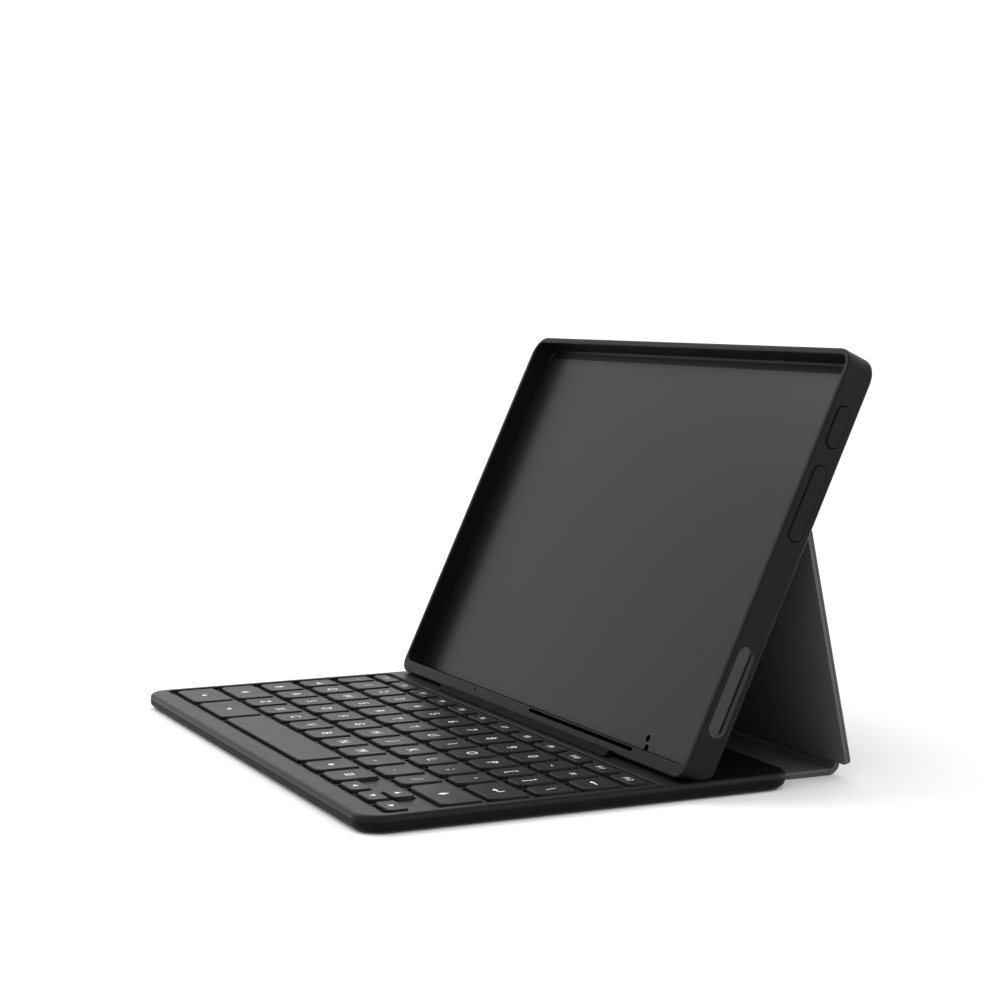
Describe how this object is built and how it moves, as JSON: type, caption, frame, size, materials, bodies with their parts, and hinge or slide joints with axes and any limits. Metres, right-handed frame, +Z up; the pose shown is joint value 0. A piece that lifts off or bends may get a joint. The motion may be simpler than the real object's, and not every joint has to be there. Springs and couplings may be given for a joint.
{
  "type": "tablet keyboard case",
  "caption": "Folding tablet case in its typing pose: flat keyboard deck, leaning tablet tray with port and button openings, and a creased rear flap that props the tray.",
  "frame": {"origin": "middle of the whole case seen from above, on the surface it stands on", "axes": "+X to the user's right along the key rows, +Y away from the user towards the rear flap, +Z up"},
  "size_m": [0.2505, 0.1961, 0.1535],
  "materials": {
    "cover_skin": "soft grained sheet",
    "black_shell": "matt",
    "grey_frame": "matt",
    "keycap": "matt",
    "steel": "plain",
    "film": "clear film",
    "white_rubber": "soft",
    "battery_foil": "foil pouch",
    "circuit_board": "lacquered",
    "magnet": "plated",
    "tray_shell": "soft touch",
    "lining": "fine felt",
    "panel_board": "grey board"
  },
  "bodies": {
    "deck": {"deck_outer_skin": "cover_skin", "deck_bottom_shell": "black_shell", "keyboard_top_frame": "grey_frame", "key_support_plate": "steel", "key_circuit_sheet": "film", "key_dome_sheet": "white_rubber", "keyboard_battery": "battery_foil", "control_board": "circuit_board", "charge_socket": "steel", "dock_bar": "black_shell", "dock_magnet_left": "magnet", "dock_magnet_right": "magnet"},
    "spine": {"spine_outer_skin": "cover_skin", "spine_board": "panel_board", "spine_inner_skin": "cover_skin"},
    "flap": {"flap_outer_skin": "cover_skin", "flap_board": "panel_board", "flap_inner_skin": "cover_skin"},
    "tray": {"tray_shell": "tray_shell", "tray_lining": "lining", "tray_steel_strip": "steel", "upper_rear_board": "panel_board", "upper_rear_skin": "cover_skin"},
    "power_button": {"power_button_cover": "tray_shell"},
    "volume_button": {"volume_button_cover": "tray_shell"},
    "accent_key": {"accent_key": "keycap"},
    "backspace_key": {"backspace_key": "keycap"},
    "caps_key": {"caps_key": "keycap"},
    "down_arrow_key": {"down_arrow_key": "keycap"},
    "enter_key": {"enter_key": "keycap"},
    "function_key_01": {"function_key_01": "keycap"},
    "function_key_02": {"function_key_02": "keycap"},
    "function_key_03": {"function_key_03": "keycap"},
    "function_key_04": {"function_key_04": "keycap"},
    "function_key_05": {"function_key_05": "keycap"},
    "function_key_06": {"function_key_06": "keycap"},
    "function_key_07": {"function_key_07": "keycap"},
    "function_key_08": {"function_key_08": "keycap"},
    "function_key_09": {"function_key_09": "keycap"},
    "function_key_10": {"function_key_10": "keycap"},
    "function_key_11": {"function_key_11": "keycap"},
    "function_key_12": {"function_key_12": "keycap"},
    "home_row_keys": {"home_row_keys": "keycap"},
    "left_arrow_key": {"left_arrow_key": "keycap"},
    "left_corner_key": {"left_corner_key": "keycap"},
    "left_of_space_key": {"left_of_space_key": "keycap"},
    "left_shift_key": {"left_shift_key": "keycap"},
    "menu_key": {"menu_key": "keycap"},
    "number_row_keys": {"number_row_keys": "keycap"},
    "right_arrow_key": {"right_arrow_key": "keycap"},
    "right_of_space_key": {"right_of_space_key": "keycap"},
    "right_shift_key": {"right_shift_key": "keycap"},
    "shift_row_keys": {"shift_row_keys": "keycap"},
    "slash_key": {"slash_key": "keycap"},
    "key_space_bar": {"space_bar": "keycap"},
    "tab_key": {"tab_key": "keycap"},
    "up_arrow_key": {"up_arrow_key": "keycap"},
    "upper_row_keys": {"upper_row_keys": "keycap"}
  },
  "joints": [
    {"name": "spine_fold", "type": "hinge", "parent": "deck", "child": "spine", "pos_m": [0, 0.0659, 0.0013], "axis": [1, 0, 0], "range_deg": [0, 90]},
    {"name": "flap_crease", "type": "hinge", "parent": "spine", "child": "flap", "pos_m": [0, 0.0916, 0.0034], "axis": [1, 0, 0], "range_deg": [-90, 0]},
    {"name": "tray_fold", "type": "hinge", "parent": "flap", "child": "tray", "pos_m": [0, 0.07296, 0.09234], "axis": [1, 0, 0], "range_deg": [0, 36.7]},
    {"name": "power_press", "type": "slide", "parent": "tray", "child": "power_button", "axis": [-1, 0, 0], "range_m": [0, 0.0004], "stiffness_N_per_m": 2000},
    {"name": "volume_press", "type": "slide", "parent": "tray", "child": "volume_button", "axis": [-1, 0, 0], "range_m": [0, 0.0004], "stiffness_N_per_m": 2000},
    {"name": "accent_key_press", "type": "slide", "parent": "deck", "child": "accent_key", "axis": [0, 0, -1], "range_m": [0, 0.0009], "stiffness_N_per_m": 600},
    {"name": "backspace_key_press", "type": "slide", "parent": "deck", "child": "backspace_key", "axis": [0, 0, -1], "range_m": [0, 0.0009], "stiffness_N_per_m": 600},
    {"name": "caps_key_press", "type": "slide", "parent": "deck", "child": "caps_key", "axis": [0, 0, -1], "range_m": [0, 0.0009], "stiffness_N_per_m": 600},
    {"name": "down_arrow_key_press", "type": "slide", "parent": "deck", "child": "down_arrow_key", "axis": [0, 0, -1], "range_m": [0, 0.0009], "stiffness_N_per_m": 600},
    {"name": "enter_key_press", "type": "slide", "parent": "deck", "child": "enter_key", "axis": [0, 0, -1], "range_m": [0, 0.0009], "stiffness_N_per_m": 600},
    {"name": "function_key_01_press", "type": "slide", "parent": "deck", "child": "function_key_01", "axis": [0, 0, -1], "range_m": [0, 0.0009], "stiffness_N_per_m": 600},
    {"name": "function_key_02_press", "type": "slide", "parent": "deck", "child": "function_key_02", "axis": [0, 0, -1], "range_m": [0, 0.0009], "stiffness_N_per_m": 600},
    {"name": "function_key_03_press", "type": "slide", "parent": "deck", "child": "function_key_03", "axis": [0, 0, -1], "range_m": [0, 0.0009], "stiffness_N_per_m": 600},
    {"name": "function_key_04_press", "type": "slide", "parent": "deck", "child": "function_key_04", "axis": [0, 0, -1], "range_m": [0, 0.0009], "stiffness_N_per_m": 600},
    {"name": "function_key_05_press", "type": "slide", "parent": "deck", "child": "function_key_05", "axis": [0, 0, -1], "range_m": [0, 0.0009], "stiffness_N_per_m": 600},
    {"name": "function_key_06_press", "type": "slide", "parent": "deck", "child": "function_key_06", "axis": [0, 0, -1], "range_m": [0, 0.0009], "stiffness_N_per_m": 600},
    {"name": "function_key_07_press", "type": "slide", "parent": "deck", "child": "function_key_07", "axis": [0, 0, -1], "range_m": [0, 0.0009], "stiffness_N_per_m": 600},
    {"name": "function_key_08_press", "type": "slide", "parent": "deck", "child": "function_key_08", "axis": [0, 0, -1], "range_m": [0, 0.0009], "stiffness_N_per_m": 600},
    {"name": "function_key_09_press", "type": "slide", "parent": "deck", "child": "function_key_09", "axis": [0, 0, -1], "range_m": [0, 0.0009], "stiffness_N_per_m": 600},
    {"name": "function_key_10_press", "type": "slide", "parent": "deck", "child": "function_key_10", "axis": [0, 0, -1], "range_m": [0, 0.0009], "stiffness_N_per_m": 600},
    {"name": "function_key_11_press", "type": "slide", "parent": "deck", "child": "function_key_11", "axis": [0, 0, -1], "range_m": [0, 0.0009], "stiffness_N_per_m": 600},
    {"name": "function_key_12_press", "type": "slide", "parent": "deck", "child": "function_key_12", "axis": [0, 0, -1], "range_m": [0, 0.0009], "stiffness_N_per_m": 600},
    {"name": "home_row_keys_press", "type": "slide", "parent": "deck", "child": "home_row_keys", "axis": [0, 0, -1], "range_m": [0, 0.0009], "stiffness_N_per_m": 600},
    {"name": "left_arrow_key_press", "type": "slide", "parent": "deck", "child": "left_arrow_key", "axis": [0, 0, -1], "range_m": [0, 0.0009], "stiffness_N_per_m": 600},
    {"name": "left_corner_key_press", "type": "slide", "parent": "deck", "child": "left_corner_key", "axis": [0, 0, -1], "range_m": [0, 0.0009], "stiffness_N_per_m": 600},
    {"name": "left_of_space_key_press", "type": "slide", "parent": "deck", "child": "left_of_space_key", "axis": [0, 0, -1], "range_m": [0, 0.0009], "stiffness_N_per_m": 600},
    {"name": "left_shift_key_press", "type": "slide", "parent": "deck", "child": "left_shift_key", "axis": [0, 0, -1], "range_m": [0, 0.0009], "stiffness_N_per_m": 600},
    {"name": "menu_key_press", "type": "slide", "parent": "deck", "child": "menu_key", "axis": [0, 0, -1], "range_m": [0, 0.0009], "stiffness_N_per_m": 600},
    {"name": "number_row_keys_press", "type": "slide", "parent": "deck", "child": "number_row_keys", "axis": [0, 0, -1], "range_m": [0, 0.0009], "stiffness_N_per_m": 600},
    {"name": "right_arrow_key_press", "type": "slide", "parent": "deck", "child": "right_arrow_key", "axis": [0, 0, -1], "range_m": [0, 0.0009], "stiffness_N_per_m": 600},
    {"name": "right_of_space_key_press", "type": "slide", "parent": "deck", "child": "right_of_space_key", "axis": [0, 0, -1], "range_m": [0, 0.0009], "stiffness_N_per_m": 600},
    {"name": "right_shift_key_press", "type": "slide", "parent": "deck", "child": "right_shift_key", "axis": [0, 0, -1], "range_m": [0, 0.0009], "stiffness_N_per_m": 600},
    {"name": "shift_row_keys_press", "type": "slide", "parent": "deck", "child": "shift_row_keys", "axis": [0, 0, -1], "range_m": [0, 0.0009], "stiffness_N_per_m": 600},
    {"name": "slash_key_press", "type": "slide", "parent": "deck", "child": "slash_key", "axis": [0, 0, -1], "range_m": [0, 0.0009], "stiffness_N_per_m": 600},
    {"name": "key_space_bar_press", "type": "slide", "parent": "deck", "child": "key_space_bar", "axis": [0, 0, -1], "range_m": [0, 0.0009], "stiffness_N_per_m": 600},
    {"name": "tab_key_press", "type": "slide", "parent": "deck", "child": "tab_key", "axis": [0, 0, -1], "range_m": [0, 0.0009], "stiffness_N_per_m": 600},
    {"name": "up_arrow_key_press", "type": "slide", "parent": "deck", "child": "up_arrow_key", "axis": [0, 0, -1], "range_m": [0, 0.0009], "stiffness_N_per_m": 600},
    {"name": "upper_row_keys_press", "type": "slide", "parent": "deck", "child": "upper_row_keys", "axis": [0, 0, -1], "range_m": [0, 0.0009], "stiffness_N_per_m": 600}
  ],
  "couplings": [
    {"joint": "flap_crease", "follows": "spine_fold", "ratio": -1},
    {"joint": "tray_fold", "follows": "spine_fold", "ratio": 0.4078}
  ]
}
